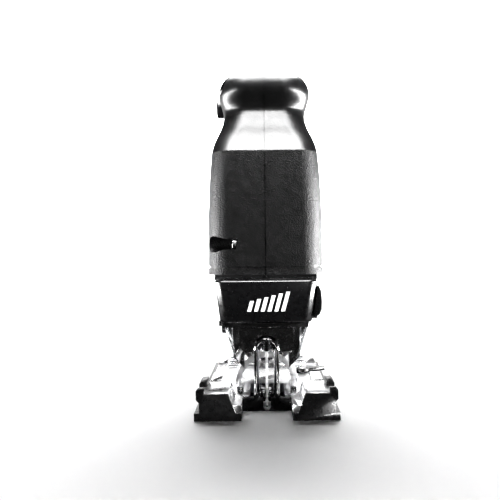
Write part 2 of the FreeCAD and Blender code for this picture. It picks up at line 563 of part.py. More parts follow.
# ---- controls -----------------------------------------------------------------------------------
def make_controls():
    save("switch_body", slab(8.5, (34, 80), (182.5, 197)))
    trigger = slab(TRIGGER_HALF, (37, 77), (TRIGGER_Z, TRIGGER_Z + 12))
    finger_edges = [edge for edge in trigger.Edges if abs(edge.BoundBox.ZMax - TRIGGER_Z) < 0.01]
    trigger = trigger.makeFillet(2.5, finger_edges)
    flange_z = TRIGGER_Z + 7.8
    flange = slab(TRIGGER_HALF + 1.5, (35.2, 78.8), (flange_z, flange_z + 1.2))
    save("trigger", fused([trigger.common(slab(10, (30, 90), (160, flange_z + 0.2))), flange]))
    button = rod(BUTTON_R, (-29.4, *BUTTON_YZ), X, 9.0)
    rim = max(button.Edges, key=lambda edge: -edge.BoundBox.XMax)
    save("lock_button", button.makeFillet(1.2, [rim]))
    dial_y, dial_z = DIAL_YZ
    dial = rod(DIAL_R, (-DIAL_HALF, dial_y, dial_z), X, 2 * DIAL_HALF)
    notches = []
    for index in range(DIAL_NOTCHES):
        angle = 2 * math.pi * index / DIAL_NOTCHES
        notches.append(rod(0.55, (-3, dial_y + DIAL_R * math.cos(angle),
                                  dial_z + DIAL_R * math.sin(angle)), X, 6))
    dial = cut_all(dial, notches).cut(rod(1.5 + RUNNING_FIT, (-4, dial_y, dial_z), X, 8))
    save("speed_dial", dial)
    save("dial_pin", rod(1.5, (-8, dial_y, dial_z), X, 16))
    module = slab(14, (150, 164), (92, 132)).fuse(slab(8, (152, 162), (85.8, 92)))
    save("electronics_module", module.removeSplitter())
    neck = rod(INLET_R, (0, INLET_Y[0], INLET_Z), Y, INLET_Y[1] - INLET_Y[0])
    inlet = neck.fuse(rod(INLET_R + 2.5, (0, INLET_Y[1], INLET_Z), Y, 4)).removeSplitter()
    save("cord_inlet", inlet.cut(rod(INLET_BORE_R, (0, INLET_Y[0] - 10, INLET_Z), Y, 40)))


# ---- base ---------------------------------------------------------------------------------------
def block_outline(inset):
    """Front block's section, as (x, z) points on the +X side."""
    return [(17.2 + inset, FLANGE_TOP), (21.2 + inset, BLOCK_TOP - inset),
            (PLATE_HALF - inset, BLOCK_TOP - inset), (PLATE_HALF - inset, FLANGE_TOP)]


def blade_opening():
    throat = slab(THROAT_HALF, (BASE_FRONT - 1, BAR_REAR), (-1, 20))
    slot = slab(BLADE_SLOT_HALF, (BAR_REAR - 0.1, BLADE_SLOT_REAR), (-1, 20))
    return fused([throat, slot])


def make_base():
    face = BASE_FRONT + SHOE_FACE
    opening = blade_opening()
    plate = slab(PLATE_HALF, (face, BASE_REAR - 2), (SHOE_FLOOR, PLATE_TOP))
    blocks = both_sides(prism_y(block_outline(0), (face, BLOCK_REAR)))
    rail = box((29.0, PLATE_HALF), (30, BASE_REAR - 2), (PLATE_TOP - 1, RAIL_TOP))
    rail = rail.cut(box((20, 40), (54, 90), (0, 20)))
    foot = box((14.0, 18.0), (6.5, 27.0), (PLATE_TOP - 1, PLATE_TOP + 3))
    ribs = [slab(28, (y, y + 2.4), (PLATE_TOP - 1, RAIL_TOP - 0.4)) for y in (84, 100, 116)]
    plate = fused([plate, blocks, both_sides(rail), both_sides(foot)] + ribs)
    gap_over = slab(THROAT_HALF, (-40, BLOCK_REAR + 0.1), (PLATE_TOP, 20))
    slots = [both_sides(box((HALF_WIDTH - 20, 60), FENCE_SLOT, (10.2, 13.2)))]
    pivot = rod(2.5, (*LEVER_PIVOT, SHOE_FLOOR), Z, 10)
    plate = cut_all(plate, [opening, gap_over, pivot] + slots)
    save("base_plate", plate)

    floor = slab(HALF_WIDTH, (BASE_FRONT, BASE_REAR), (0, SHOE_FLOOR))
    rear_corners = [edge for edge in floor.Edges
                    if edge.BoundBox.ZLength > 1.5 and edge.BoundBox.YMin > BASE_REAR - 1]
    floor = floor.makeFillet(8.0, rear_corners)
    lip = box((PLATE_HALF, HALF_WIDTH), (BASE_FRONT, BASE_REAR - 8), (0, FLANGE_TOP))
    front = prism_y([(THROAT_HALF, 0), (THROAT_HALF, FLANGE_TOP)] + block_outline(0)
                    + [(HALF_WIDTH, FLANGE_TOP), (HALF_WIDTH, 0)], (BASE_FRONT, face))
    ear_outline = [(PLATE_HALF, FLANGE_TOP - 1), (PLATE_HALF, EAR_TOP), (EAR_OUT - 1.2, EAR_TOP),
                   (EAR_OUT, EAR_TOP - 1.2), (EAR_OUT, 11.6), (37.4, 10.0), (37.4, FLANGE_TOP - 1)]
    ears = [prism_y(ear_outline, (BASE_FRONT, FENCE_SLOT[0])),
            prism_y(ear_outline, (FENCE_SLOT[1], BLOCK_REAR))]
    caps = [box((EAR_IN, PLATE_HALF), y, (BLOCK_TOP, EAR_TOP))
            for y in ((BASE_FRONT, FENCE_SLOT[0]), (FENCE_SLOT[1], BLOCK_REAR))]
    runners = [box((x, x + 1.0), (BASE_FRONT + 4, BASE_REAR - 6), (SHOE_FLOOR - 1, SHOE_FLOOR))
               for x in (20.0, 30.0)]
    shoe = fused([floor, both_sides(fused([lip, front] + ears + caps))])
    grooves = [both_sides(runner.translated(vec(0, 0, -SHOE_FLOOR + 0.5))) for runner in runners]
    save("slide_shoe", cut_all(shoe, [opening] + grooves))

    bar = slab(THROAT_HALF, (BAR_FRONT, BAR_REAR), (0.0, BAR_TOP))
    notch = fused([slab(2.2, (BAR_FRONT - 1, BAR_REAR + 1), (2.4, 20)),
                   rod(2.2, (0, BAR_FRONT - 1, 2.4), Y, 5)])
    lug = box(LUG_X, (BAR_FRONT, BAR_FRONT + LUG_DEPTH), (BAR_TOP - 0.5, GUARD_FOOT_Z + 1.5))
    save("splinter_bar", fused([bar.cut(notch), both_sides(lug)]))


def make_bow_guard():
    """Bent wire that arches over the blade's front, with its feet turned back to the crossbar's lugs."""
    wire_r, half, top, y_front, foot_z, bend = 0.75, sum(LUG_X) / 2, 42.2, -14.0, GUARD_FOOT_Z, 3.0
    arch = half
    leg = [rod(wire_r, (side * half, y_front, foot_z + bend), Z, top - arch - foot_z - bend)
           for side in (-1, 1)]
    arc = Part.makeTorus(arch, wire_r, vec(0, y_front, top - arch), Y, 0, 360)
    arc = arc.common(slab(20, (-30, 0), (top - arch, 60)))
    feet = []
    for side in (-1, 1):
        elbow = Part.makeTorus(bend, wire_r, vec(side * half, y_front + bend, foot_z + bend), X, 0, 360)
        elbow = elbow.common(box((side * half - 2, side * half + 2), (-30, y_front + bend),
                                 (0, foot_z + bend)))
        feet += [elbow, rod(wire_r, (side * half, y_front + bend, foot_z), Y,
                            BAR_FRONT - y_front - bend)]
    save("wire_guard", fused(leg + [arc] + feet))


def make_tilt_parts():
    axis = (0, SEGMENT_Y[0], TILT_AXIS_Z)
    length = SEGMENT_Y[1] - SEGMENT_Y[0]
    arch = ring(SEGMENT_R, SEGMENT_R - SEGMENT_WALL, axis, Y, length)
    arch = arch.common(slab(30, SEGMENT_Y, (TILT_AXIS_Z, 60)))
    reach = math.radians(90 - TILT_LIMIT - 13)
    far = 40.0
    wedge = prism_y([(0, TILT_AXIS_Z), (far * math.cos(reach), TILT_AXIS_Z + far * math.sin(reach)),
                     (0, 60), (-far * math.cos(reach), TILT_AXIS_Z + far * math.sin(reach))],
                    (BOLT_Y - BOLT_R - GAP, BOLT_Y + BOLT_R + GAP))
    save("tilt_segment", arch.cut(wedge))
    inner = SEGMENT_R - SEGMENT_WALL - GAP
    shoe = ring(inner, inner - 4, (0, BOLT_Y - 9, TILT_AXIS_Z), Y, 18)
    shoe = shoe.common(prism_y([(0, TILT_AXIS_Z), (10, 40), (-10, 40)], (BOLT_Y - 9, BOLT_Y + 9)))
    save("bevel_shoe", shoe.cut(rod(BOLT_R, (0, BOLT_Y, 0), Z, 50)))
    bolt = rod(BOLT_R, (0, BOLT_Y, TILT_AXIS_Z + inner - 6.5), Z, 31.5 - TILT_AXIS_Z - inner + 6.5)
    head = rod(5.0, (0, BOLT_Y, TILT_AXIS_Z + inner - 9.0), Z, 2.5)
    save("bevel_bolt", fused([bolt, head]))
    pivot_x, pivot_y = LEVER_PIVOT
    hub = rod(4.5, (pivot_x, pivot_y, PLATE_TOP + 0.2), Z, 2.4)
    arm = prism_z([(pivot_x - 1, pivot_y - 3.4), (pivot_x + 15.6, pivot_y + 3.0),
                   (pivot_x + 15.6, pivot_y + 7.5), (pivot_x - 1, pivot_y + 4.2)],
                  (PLATE_TOP + 0.2, PLATE_TOP + 2.6))
    lever = fused([hub, arm]).cut(rod(2.5 + RUNNING_FIT, (pivot_x, pivot_y, 0), Z, 20))
    save("bevel_lever", lever)
    save("bevel_lever_pin", rod(2.5, (pivot_x, pivot_y, SHOE_FLOOR), Z, PLATE_TOP + 2.6 - SHOE_FLOOR))


def make_dust_port():
    tube = ring(PORT_R + PORT_WALL, PORT_R, (0, 80, 45), Y, 58)
    collar = ring(PORT_R + PORT_WALL + 1.2, PORT_R, (0, 80, 45), Y, 5)
    save("dust_port", fused([tube, collar]))


def main():
    os.makedirs("parts", exist_ok=True)
    make_housing()
    make_grip()
    make_gear_housing()
    make_front_cover()
    make_lip()
    make_nose()
    make_release_lever()
    make_side_shields()
    make_drive()
    make_clamp()
    make_blade()
    make_orbit()
    make_motor()
    make_controls()
    make_base()
    make_bow_guard()
    make_tilt_parts()
    make_dust_port()


main()
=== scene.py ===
"""Visual model of a bow-handled jigsaw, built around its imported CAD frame.

Lengths are in metres. The origin is on the sole plane at the blade's axis, the front faces -Y and +Z is up.
"""

import json
import logging
import math
from dataclasses import dataclass, replace
from enum import Enum
from typing import Callable, Iterable, Optional, Sequence

import bmesh
import bpy
from mathutils import Matrix, Vector

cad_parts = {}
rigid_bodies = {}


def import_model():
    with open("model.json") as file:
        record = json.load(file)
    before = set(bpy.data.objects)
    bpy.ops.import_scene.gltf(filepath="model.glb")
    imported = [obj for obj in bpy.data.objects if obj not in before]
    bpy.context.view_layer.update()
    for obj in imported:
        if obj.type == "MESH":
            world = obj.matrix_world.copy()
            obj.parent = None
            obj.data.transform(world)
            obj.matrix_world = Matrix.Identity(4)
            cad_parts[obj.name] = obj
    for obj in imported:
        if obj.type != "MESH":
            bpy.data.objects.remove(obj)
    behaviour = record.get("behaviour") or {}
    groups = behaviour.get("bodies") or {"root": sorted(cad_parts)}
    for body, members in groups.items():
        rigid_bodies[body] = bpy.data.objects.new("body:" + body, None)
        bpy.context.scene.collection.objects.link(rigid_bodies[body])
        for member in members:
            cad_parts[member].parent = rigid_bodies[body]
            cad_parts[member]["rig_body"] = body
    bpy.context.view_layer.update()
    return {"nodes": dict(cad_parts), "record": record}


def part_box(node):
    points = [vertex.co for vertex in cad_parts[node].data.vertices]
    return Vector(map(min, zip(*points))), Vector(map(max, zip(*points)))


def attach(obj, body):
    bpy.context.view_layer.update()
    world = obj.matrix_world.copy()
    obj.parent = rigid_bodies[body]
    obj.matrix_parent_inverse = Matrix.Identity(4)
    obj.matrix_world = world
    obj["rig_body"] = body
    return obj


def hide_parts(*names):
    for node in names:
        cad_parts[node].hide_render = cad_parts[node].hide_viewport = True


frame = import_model()

MM = 0.001
LOG = logging.getLogger("jigsaw")
LEAST_FLAT = 0.3 * MM
WELD, SLIVER, FLAT_DEGREES = 2e-6, 1e-6, 1.0
Span = tuple[float, float]


def mm(low: float, high: float) -> Span:
    """Return a span of millimetres in metres."""
    return low * MM, high * MM


class Side(Enum):
    """A side of the tool, as the sign of its X."""

    LEFT = 1
    RIGHT = -1


class Body(Enum):
    """Moving bodies that new pieces ride on."""

    HOUSING = "body"
    BASE = "base"


# ---- materials ----------------------------------------------------------------------------------
class NodeSheet:
    """A material's node tree, with short ways to add and join nodes."""

    BLEND = 0.00015

    def __init__(self, name: str) -> None:
        """Start a material with one Principled shader."""
        self.material = bpy.data.materials.new(name)
        self.material.use_nodes = True
        self.tree = self.material.node_tree
        self.shader = self.tree.nodes["Principled BSDF"]
        self.coords = self.add("ShaderNodeTexCoord").outputs["Object"]

    def add(self, kind: str, **values: object) -> bpy.types.Node:
        """Add a node and set its properties or input sockets by name."""
        node = self.tree.nodes.new(kind)
        for key, value in values.items():
            socket = key.replace("_", " ").title()
            if hasattr(node, key):
                setattr(node, key, value)
            elif socket in node.inputs:
                node.inputs[socket].default_value = value
            else:
                node.inputs[key].default_value = value
        return node

    def join(self, source: bpy.types.NodeSocket, target: bpy.types.NodeSocket) -> None:
        """Link one socket to another."""
        self.tree.links.new(source, target)

    def stretched(self, scale: Sequence[float]) -> bpy.types.NodeSocket:
        """Return object coordinates scaled along each axis."""
        mapping = self.add("ShaderNodeMapping")
        mapping.inputs["Scale"].default_value = scale
        self.join(self.coords, mapping.inputs["Vector"])
        return mapping.outputs["Vector"]

    def noise(self, scale: float, detail: float = 3.0,
              vector: Optional[bpy.types.NodeSocket] = None) -> bpy.types.NodeSocket:
        """Return noise of that many waves a metre."""
        node = self.add("ShaderNodeTexNoise", scale=scale, detail=detail)
        self.join(vector or self.coords, node.inputs["Vector"])
        return node.outputs["Fac"]

    def cells(self, scale: float) -> bpy.types.NodeSocket:
        """Return the distance to scattered cell centres, for a pebbled grain."""
        node = self.add("ShaderNodeTexVoronoi", scale=scale)
        self.join(self.coords, node.inputs["Vector"])
        return node.outputs["Distance"]

    def spread(self, source: bpy.types.NodeSocket, low: float, high: float,
               start: float = 0.3, end: float = 0.7) -> bpy.types.NodeSocket:
        """Map a value from start..end onto low..high."""
        node = self.add("ShaderNodeMapRange")
        for name, value in (("From Min", start), ("From Max", end), ("To Min", low), ("To Max", high)):
            node.inputs[name].default_value = value
        self.join(source, node.inputs["Value"])
        return node.outputs["Result"]

    def tint(self, source: bpy.types.NodeSocket, dark: Sequence[float],
             light: Sequence[float]) -> bpy.types.NodeSocket:
        """Mix two colours by a value."""
        node = self.add("ShaderNodeMix", data_type="RGBA")
        colour_a, colour_b = [s for s in node.inputs if s.type == "RGBA"][:2]
        colour_a.default_value = (*dark, 1.0)
        colour_b.default_value = (*light, 1.0)
        self.join(source, node.inputs["Factor"])
        return [s for s in node.outputs if s.type == "RGBA"][0]

    def times(self, first: bpy.types.NodeSocket, second: bpy.types.NodeSocket) -> bpy.types.NodeSocket:
        """Multiply two values."""
        node = self.add("ShaderNodeMath", operation="MULTIPLY")
        self.join(first, node.inputs[0])
        self.join(second, node.inputs[1])
        return node.outputs[0]

    def bump(self, height: bpy.types.NodeSocket, depth: float, strength: float = 1.0,
             under: Optional[bpy.types.NodeSocket] = None) -> bpy.types.NodeSocket:
        """Raise the surface by a height, in metres, over an earlier bump."""
        node = self.add("ShaderNodeBump", strength=strength, distance=depth)
        self.join(height, node.inputs["Height"])
        if under:
            self.join(under, node.inputs["Normal"])
        return node.outputs["Normal"]

    def above(self, height: float) -> bpy.types.NodeSocket:
        """Return 1 above a height on the piece and 0 below it."""
        split = self.add("ShaderNodeSeparateXYZ")
        self.join(self.coords, split.inputs[0])
        return self.spread(split.outputs["Z"], 0.0, 1.0, height - self.BLEND, height + self.BLEND)

    def finish(self, normal: bpy.types.NodeSocket) -> bpy.types.Material:
        """Join the normal and return the material."""
        self.join(normal, self.shader.inputs["Normal"])
        return self.material


@dataclass(frozen=True)
class Finish:
    """What every finish has: a name and a colour."""

    name: str
    colour: tuple[float, float, float]

    def build(self) -> bpy.types.Material:
        """Make the material."""
        raise NotImplementedError


@dataclass(frozen=True)
class Plastic(Finish):
    """Moulded plastic: a pebbled grain, patchy gloss and a slight change of shade."""

    roughness: float = 0.45
    grain: float = 1500.0
    depth: float = 0.00006
    coat: float = 0.0
    smooth_above: Optional[float] = None
    smooth_roughness: float = 0.22

    def build(self) -> bpy.types.Material:
        """Make the material."""
        sheet = NodeSheet(self.name)
        patches = sheet.noise(60.0, 4.0)
        darker = tuple(c * 0.75 for c in self.colour)
        lighter = tuple(c * 1.3 + 0.002 for c in self.colour)
        sheet.join(sheet.tint(patches, darker, lighter), sheet.shader.inputs["Base Color"])
        rough = sheet.spread(sheet.noise(400.0), self.roughness - 0.07, self.roughness + 0.08)
        height = sheet.cells(self.grain)
        if self.smooth_above is not None:
            smooth = sheet.above(self.smooth_above)
            fade = sheet.spread(smooth, 1.0, 0.06, 0.0, 1.0)
            height = sheet.times(height, fade)
            mix = sheet.add("ShaderNodeMix", data_type="FLOAT")
            sheet.join(smooth, mix.inputs["Factor"])
            sheet.join(rough, mix.inputs[2])
            sheet.join(sheet.spread(sheet.noise(300.0), self.smooth_roughness - 0.03,
                                    self.smooth_roughness + 0.04), mix.inputs[3])
            rough = mix.outputs[0]
        sheet.join(rough, sheet.shader.inputs["Roughness"])
        sheet.shader.inputs["Coat Weight"].default_value = self.coat
        sheet.shader.inputs["Coat Roughness"].default_value = 0.12
        scuffs = sheet.bump(sheet.noise(900.0, 6.0), self.depth * 0.4, 0.5)
        return sheet.finish(sheet.bump(height, self.depth, 1.0, scuffs))


@dataclass(frozen=True)
class Metal(Finish):
    """Metal with a grain drawn out along one axis, or none for a cast skin."""

    roughness: float = 0.3
    stretch: tuple[float, float, float] = (1.0, 1.0, 1.0)
    grain: float = 900.0
    depth: float = 0.00002
    shade: float = 0.8

    def build(self) -> bpy.types.Material:
        """Make the material."""
        sheet = NodeSheet(self.name)
        lines = sheet.noise(self.grain, 5.0, sheet.stretched(self.stretch))
        clouds = sheet.noise(45.0, 3.0)
        dull = tuple(c * self.shade for c in self.colour)
        sheet.join(sheet.tint(sheet.times(lines, clouds), dull, self.colour),
                   sheet.shader.inputs["Base Color"])
        sheet.join(sheet.spread(clouds, self.roughness - 0.06, self.roughness + 0.1),
                   sheet.shader.inputs["Roughness"])
        sheet.shader.inputs["Metallic"].default_value = 1.0
        return sheet.finish(sheet.bump(lines, self.depth, 0.8))


@dataclass(frozen=True)
class Rubber(Finish):
    """Soft overmoulded rubber, fine grained and dull, with a light dusting in its pores."""

    roughness: float = 0.72

    def build(self) -> bpy.types.Material:
        """Make the material."""
        sheet = NodeSheet(self.name)
        dust = sheet.noise(220.0, 6.0)
        lighter = tuple(c * 1.6 + 0.004 for c in self.colour)
        sheet.join(sheet.tint(dust, self.colour, lighter), sheet.shader.inputs["Base Color"])
        sheet.join(sheet.spread(dust, self.roughness - 0.08, self.roughness + 0.1),
                   sheet.shader.inputs["Roughness"])
        sheet.shader.inputs["Sheen Weight"].default_value = 0.04
        return sheet.finish(sheet.bump(sheet.cells(2600.0), 0.00004, 0.8))


@dataclass(frozen=True)
class ClearPlastic(Finish):
    """Clear moulded window with faint smears."""

    roughness: float = 0.06

    def build(self) -> bpy.types.Material:
        """Make the material."""
        sheet = NodeSheet(self.name)
        smears = sheet.noise(90.0, 4.0, sheet.stretched((1.0, 1.0, 0.3)))
        bright = tuple(min(1.0, c * 1.03) for c in self.colour)
        sheet.join(sheet.tint(smears, self.colour, bright), sheet.shader.inputs["Base Color"])
        sheet.join(sheet.spread(smears, self.roughness - 0.03, self.roughness + 0.08),
                   sheet.shader.inputs["Roughness"])
        sheet.shader.inputs["Transmission Weight"].default_value = 0.96
        sheet.shader.inputs["IOR"].default_value = 1.3
        return sheet.finish(sheet.bump(smears, 0.00002, 0.3))


@dataclass(frozen=True)
class Backdrop(Finish):
    """Plain pale floor paper."""

    def build(self) -> bpy.types.Material:
        """Make the material."""
        sheet = NodeSheet(self.name)
        fibres = sheet.noise(300.0, 4.0)
        sheet.join(sheet.tint(fibres, tuple(c * 0.985 for c in self.colour), self.colour),
                   sheet.shader.inputs["Base Color"])
        sheet.shader.inputs["Roughness"].default_value = 0.55
        return sheet.finish(sheet.bump(fibres, 0.00005, 0.2))


ALONG_X, ALONG_Y, ALONG_Z = (0.04, 1.0, 1.0), (1.0, 0.04, 1.0), (1.0, 1.0, 0.04)
FINISHES: dict[str, Finish] = {
    "housing": Plastic("housing_black", (0.005, 0.005, 0.0052), 0.37, 1400.0, 0.00022,
                       smooth_above=0.1500, smooth_roughness=0.33),
    "soft_grip": Rubber("grip_rubber", (0.009, 0.009, 0.0095)),
    "cover_plastic": Plastic("cover_gloss", (0.006, 0.006, 0.0065), 0.3, 2200.0, 0.00001, coat=0.3),
    "gloss_black": Plastic("lip_gloss", (0.008, 0.008, 0.008), 0.12, 2500.0, 0.00001, coat=0.5),
    "nose_plastic": Plastic("nose_satin", (0.01, 0.01, 0.01), 0.24, 1800.0, 0.00003),
    "lever_plastic": Plastic("lever_satin", (0.01, 0.01, 0.0105), 0.28, 2000.0, 0.00003),
    "trigger_plastic": Plastic("control_satin", (0.016, 0.016, 0.017), 0.35, 1800.0, 0.00004),
    "inner_plastic": Plastic("inner_moulding", (0.03, 0.03, 0.03), 0.5),
    "port_plastic": Plastic("port_moulding", (0.014, 0.014, 0.014), 0.42),
    "shoe_plastic": Plastic("shoe_moulding", (0.006, 0.006, 0.0062), 0.3, 1400.0, 0.00005),
    "clear_window": ClearPlastic("clear_window", (0.94, 0.95, 0.955)),
    "cast_alloy": Metal("cast_skin", (0.74, 0.74, 0.75), 0.2, grain=700.0, depth=0.00004, shade=0.8),
    "base_alloy": Metal("base_machined", (0.9, 0.9, 0.905), 0.26, ALONG_Y, 700.0, 0.00002, 0.88),
    "blade_steel": Metal("blade_ground", (0.95, 0.95, 0.95), 0.55, ALONG_Z, 1500.0, 0.00002, 0.9),
    "clamp_steel": Metal("clamp_turned", (0.32, 0.32, 0.33), 0.25, ALONG_Z, 1000.0),
    "ground_steel": Metal("ground_steel", (0.66, 0.66, 0.67), 0.18, ALONG_Z, 1500.0, 0.00001),
    "gear_steel": Metal("gear_steel", (0.5, 0.5, 0.51), 0.3, ALONG_Y),
    "bearing_steel": Metal("bearing_steel", (0.72, 0.72, 0.73), 0.2, ALONG_Y),
    "screw_steel": Metal("screw_plated", (0.6, 0.6, 0.6), 0.24, ALONG_X),
    "wire_steel": Metal("bright_wire", (0.86, 0.86, 0.86), 0.12, ALONG_Z, 1600.0, 0.00001),
    "bronze": Metal("sintered_bronze", (0.55, 0.38, 0.2), 0.4),
    "copper": Metal("copper", (0.8, 0.42, 0.26), 0.3),
    "lamination": Metal("lamination", (0.3, 0.3, 0.31), 0.4, (1.0, 20.0, 1.0)),
    "carbon": Plastic("carbon", (0.02, 0.02, 0.02), 0.5),
    "inlet_rubber": Rubber("inlet_rubber", (0.014, 0.014, 0.014)),
}
PRINT = Plastic("white_print", (0.75, 0.75, 0.75), 0.4, 3000.0, 0.00001)
FLOOR = Backdrop("pale_paper", (0.82, 0.82, 0.82))


class Paints:
    """The materials, each made once, by the record's slot names."""

    def __init__(self) -> None:
        """Build every finish."""
        self.by_slot = {slot: finish.build() for slot, finish in FINISHES.items()}
        self.print = PRINT.build()
        self.floor = FLOOR.build()

    def dress_frame(self) -> None:
        """Give every CAD node the finish of its slot."""
        for row in frame["record"]["subparts"]:
            node = frame["nodes"][row["node"]]
            node.data.materials.clear()
            node.data.materials.append(self.by_slot[row["material_slot"]])


SLOT_OF = {row["node"]: row["material_slot"] for row in frame["record"]["subparts"]}


# ---- mesh tools ---------------------------------------------------------------------------------
@dataclass(frozen=True)
class Station:
    """A closed section of a moulded form: a rounded rectangle."""

    y: float
    z: float
    half_u: float
    half_v: float
    radius: float
    slope: float = 0.0


class Carving(Enum):
    """What a tool form does to an object."""

    CUT = "DIFFERENCE"
    JOIN = "UNION"
    KEEP_SHARED = "INTERSECT"


class Lie(Enum):
    """How a station's section lies: level, or upright across the tool."""

    LEVEL = "level"
    UPRIGHT = "upright"


def smooth_step_through(values: Sequence[float], index: int, t: float) -> float:
    """Return a value on the smooth curve through values, between index and the next one."""
    before = values[max(index - 1, 0)]
    start, end = values[index], values[index + 1]
    after = values[min(index + 2, len(values) - 1)]
    slope_in, slope_out = (end - before) / 2, (after - start) / 2
    return ((2 * t ** 3 - 3 * t ** 2 + 1) * start + (t ** 3 - 2 * t ** 2 + t) * slope_in
            + (-2 * t ** 3 + 3 * t ** 2) * end + (t ** 3 - t ** 2) * slope_out)


def between(stations: Sequence[Station], steps: int) -> list[Station]:
    """Fill in stations so that a form is smooth along its length."""
    columns = list(zip(*[(s.y, s.z, s.half_u, s.half_v, s.radius, s.slope) for s in stations]))
    filled = []
    for index in range(len(stations) - 1):
        for step in range(steps):
            t = step / steps
            filled.append(Station(*[smooth_step_through(column, index, t) for column in columns]))
    return filled + [stations[-1]]


def ring_on(bm: bmesh.types.BMesh, station: Station, lie: Lie, segments: int,
            outset: float = 0.0) -> list[bmesh.types.BMEdge]:
    """Add one section as a ring of edges.

    Args:
        bm: The mesh to add to.
        station: The section's place and size.
        lie: Whether it lies level or upright.
        segments: How many points it has.
        outset: How far it is moved out, in metres.

    Returns:
        The ring's edges.
    """
    made = bmesh.ops.create_circle(bm, cap_ends=False, radius=1.0, segments=segments)["verts"]
    slope = math.radians(station.slope)
    up = Vector((0, -math.sin(slope), math.cos(slope))) if lie is Lie.UPRIGHT else Vector((0, 1, 0))
    centre = Vector((0, station.y, station.z))
    half_u, half_v = station.half_u + outset, station.half_v + outset
    radius = min(station.radius + outset, half_u - LEAST_FLAT, half_v - LEAST_FLAT)
    for vert in made:
        angle = math.atan2(vert.co.y, vert.co.x) + math.pi / segments
        cosine, sine = math.cos(angle), math.sin(angle)
        u = math.copysign(half_u - radius, cosine) + radius * cosine
        v = math.copysign(half_v - radius, sine) + radius * sine
        vert.co = centre + Vector((1, 0, 0)) * u + up * v
    return list({edge for vert in made for edge in vert.link_edges})


def loft(stations: Sequence[Station], lie: Lie, steps: int = 6, segments: int = 72,
         outset: Callable[[int], float] = lambda _index: 0.0, capped: bool = True) -> bmesh.types.BMesh:
    """Bridge rings through the stations into one form.

    Args:
        stations: Sections in order.
        lie: How the sections lie.
        steps: How many rings each gap between stations gets.
        segments: Points in each ring.
        outset: How far out each ring is moved, by its number.
        capped: Whether the two ends are closed.

    Returns:
        The new mesh.
    """
    bm = bmesh.new()
    rings = [ring_on(bm, station, lie, segments, outset(index))
             for index, station in enumerate(between(stations, steps))]
    for first, second in zip(rings, rings[1:]):
        bmesh.ops.bridge_loops(bm, edges=first + second)
    if capped:
        for ring in (rings[0], rings[-1]):
            bmesh.ops.contextual_create(bm, geom=ring)
    bmesh.ops.recalc_face_normals(bm, faces=bm.faces[:])
    return bm


def box_mesh(x: Span, y: Span, z: Span) -> bmesh.types.BMesh:
    """Return a box between low and high corners."""
    bm = bmesh.new()
    size = Vector((x[1] - x[0], y[1] - y[0], z[1] - z[0]))
    centre = Vector((x[0] + x[1], y[0] + y[1], z[0] + z[1])) / 2
    bmesh.ops.create_cube(bm, size=1.0, matrix=Matrix.Translation(centre) @ Matrix.Diagonal((*size, 1)))
    return bm


def rod_mesh(radius: float, start: Vector, end: Vector, segments: int = 48) -> bmesh.types.BMesh:
    """Return a closed cylinder from start to end."""
    bm = bmesh.new()
    axis = end - start
    turn = axis.to_track_quat("Z", "Y").to_matrix().to_4x4()
    bmesh.ops.create_cone(bm, cap_ends=True, segments=segments, radius1=radius, radius2=radius,
                          depth=axis.length, matrix=Matrix.Translation((start + end) / 2) @ turn)
    return bm


def merged(parts: Iterable[bmesh.types.BMesh]) -> bmesh.types.BMesh:
    """Join meshes into one, and free them."""
    whole = bmesh.new()
    for part in parts:
        mesh = bpy.data.meshes.new("part")
        part.to_mesh(mesh)
        whole.from_mesh(mesh)
        bpy.data.meshes.remove(mesh)
        part.free()
    return whole


def as_object(name: str, bm: bmesh.types.BMesh) -> bpy.types.Object:
    """Put a mesh into the scene as an object at the origin, and free it."""
    mesh = bpy.data.meshes.new(name)
    bm.to_mesh(mesh)
    bm.free()
    obj = bpy.data.objects.new(name, mesh)
    bpy.context.scene.collection.objects.link(obj)
    return obj


def settled(obj: bpy.types.Object) -> bpy.types.Object:
    """Apply an object's modifiers to its mesh."""
    depsgraph = bpy.context.evaluated_depsgraph_get()
    mesh = bpy.data.meshes.new_from_object(obj.evaluated_get(depsgraph))
    obj.modifiers.clear()
    obj.data = mesh
    return obj


def carve(obj: bpy.types.Object, tools: Iterable[bmesh.types.BMesh],
          how: Carving = Carving.CUT) -> bpy.types.Object:
    """Cut closed forms out of an object, join them to it or keep what they share.

    Args:
        obj: The object that changes.
        tools: Closed meshes, used one after another and freed.
        how: What is done with each of them.

    Returns:
        The changed object.
    """
    for form in tools:
        tool = as_object("tool", form)
        modifier = obj.modifiers.new("carve", "BOOLEAN")
        modifier.operation = how.value
        modifier.solver = "MANIFOLD"
        modifier.object = tool
        settled(obj)
        bpy.data.objects.remove(tool)
    return obj


def copied(obj: bpy.types.Object, name: str) -> bpy.types.Object:
    """Return a copy of an object with a mesh of its own."""
    twin = obj.copy()
    twin.data = obj.data.copy()
    twin.name = name
    bpy.context.scene.collection.objects.link(twin)
    return twin


def mesh_of(obj: bpy.types.Object) -> bmesh.types.BMesh:
    """Return an object's mesh, open for editing."""
    bm = bmesh.new()
    bm.from_mesh(obj.data)
    return bm


def shade(obj: bpy.types.Object, degrees: float = 32.0) -> bpy.types.Object:
    """Shade smooth, with sharp edges past an angle."""
    obj.data.shade_smooth()
    obj.data.set_sharp_from_angle(angle=math.radians(degrees))
    return obj


def eased(obj: bpy.types.Object, width: float, segments: int = 2, degrees: float = 35.0) -> bpy.types.Object:
    """Round an object's sharp edges with a small radius."""
    bevel = obj.modifiers.new("ease", "BEVEL")
    bevel.width = width
    bevel.segments = segments
    bevel.limit_method = "ANGLE"
    bevel.angle_limit = math.radians(degrees)
    bevel.use_clamp_overlap = True
    bevel.harden_normals = True
    return obj


